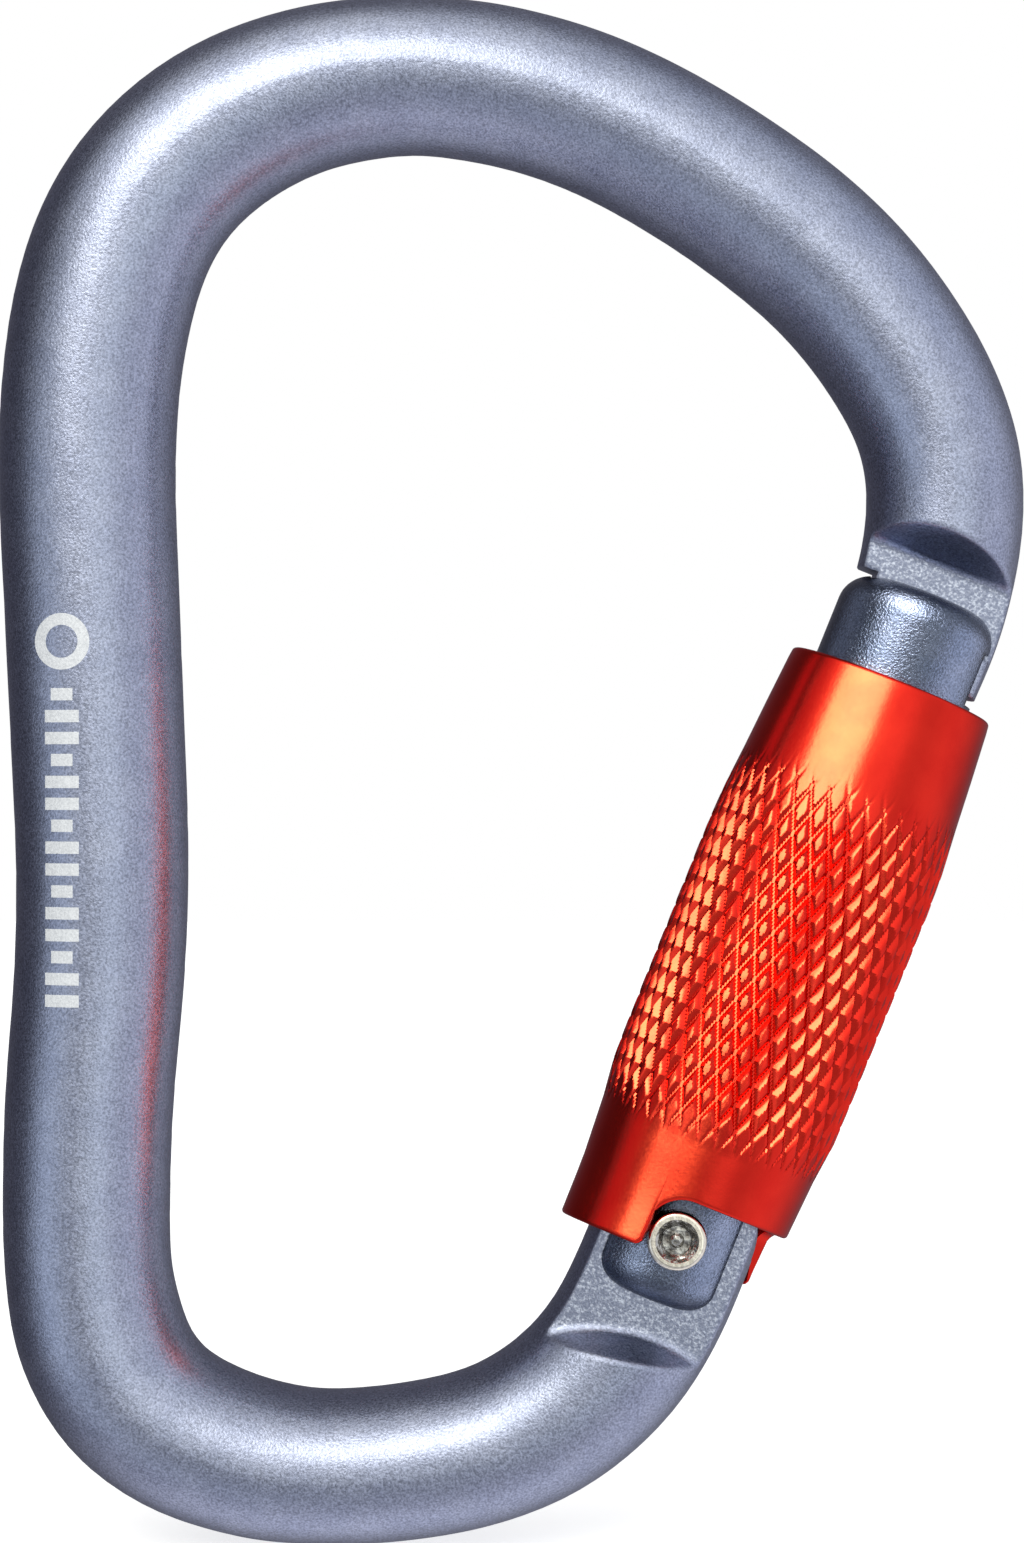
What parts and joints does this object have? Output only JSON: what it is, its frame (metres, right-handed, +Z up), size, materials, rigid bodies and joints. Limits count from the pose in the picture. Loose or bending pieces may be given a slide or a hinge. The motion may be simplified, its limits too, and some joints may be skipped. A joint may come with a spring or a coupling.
{
  "type": "locking carabiner",
  "caption": "Pear-shaped climbing carabiner with a swinging keylock gate and a spring-return twist-lock sleeve.",
  "frame": {"origin": "inner apex of the wide bow, where the rope sits, midway through the bar", "axes": "+Z up the long axis towards the wide bow, +X towards the gate, +Y from front to back"},
  "size_m": [0.0742, 0.0172, 0.1119],
  "materials": {
    "body_anodised": "satin anodised",
    "gate_anodised": "smooth anodised",
    "rivet_steel": "turned",
    "plunger_brass": "turned",
    "spring_steel": "drawn wire",
    "sleeve_anodised": "satin anodised, diamond knurl",
    "bush_plastic": "moulded"
  },
  "bodies": {
    "frame": {"body": "body_anodised"},
    "gate_arm": {"gate": "gate_anodised", "hinge_rivet": "rivet_steel", "gate_spring": "spring_steel"},
    "pusher": {"gate_plunger": "plunger_brass"},
    "lock_sleeve": {"sleeve": "sleeve_anodised", "sleeve_bush": "bush_plastic", "sleeve_spring": "spring_steel"}
  },
  "joints": [
    {"name": "gate_swing", "type": "hinge", "parent": "frame", "child": "gate_arm", "pos_m": [0.0189, 0, -0.07787], "axis": [0, -1, 0], "range_deg": [0, 25], "stiffness_Nm_per_rad": 0.12, "springref_deg": -45.84},
    {"name": "plunger_slide", "type": "slide", "parent": "gate_arm", "child": "pusher", "axis": [0.3746, 0, 0.9272], "range_m": [0, 0.001], "deforming": ["gate_spring"]},
    {"name": "sleeve_twist", "type": "hinge", "parent": "gate_arm", "child": "lock_sleeve", "pos_m": [0.0189, 0, -0.07787], "axis": [-0.3746, 0, -0.9272], "range_deg": [0, 110], "stiffness_Nm_per_rad": 0.01, "springref_deg": -57.3, "deforming": ["sleeve_spring"]}
  ],
  "couplings": [
    {"joint": "plunger_slide", "follows": "gate_swing", "m_per_rad": 0.0022}
  ]
}
